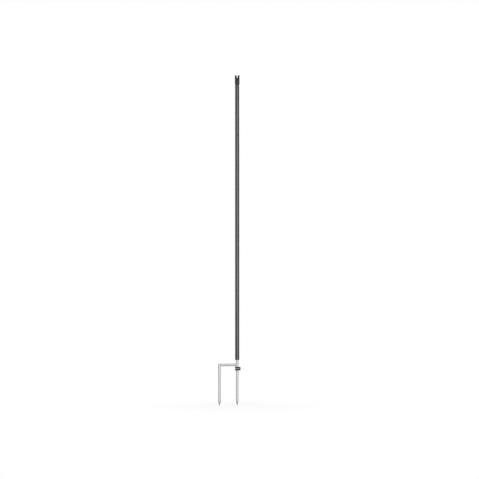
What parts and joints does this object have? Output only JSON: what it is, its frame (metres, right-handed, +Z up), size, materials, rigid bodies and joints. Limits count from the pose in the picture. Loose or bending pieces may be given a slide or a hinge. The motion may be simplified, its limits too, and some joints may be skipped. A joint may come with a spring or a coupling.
{
  "type": "step in fence post",
  "caption": "Step-in post for electric netting: dark tube with notched head cap, pointed steel spike, step bar bent down into a second spike, and a string clip.",
  "frame": {"origin": "on the common axis of the tube and the main spike, at the ground line, which is the underside of the net clip", "axes": "+Z up along the post, -X along the step bar towards the second spike, Y along the string notch and the clip's slot"},
  "size_m": [0.0828, 0.0176, 1.2235],
  "materials": {
    "tube_plastic": "satin extruded",
    "cap_plastic": "matte moulded",
    "galvanised_steel": "zinc plated, dull",
    "prong_steel": "zinc plated, dull",
    "weld_steel": "rippled weld under zinc",
    "clip_plastic": "matte moulded"
  },
  "bodies": {
    "root": {"post_tube": "tube_plastic", "head_cap": "cap_plastic", "main_spike": "galvanised_steel", "step_prong": "prong_steel", "weld_bead": "weld_steel", "net_clip": "clip_plastic"}
  },
  "joints": []
}
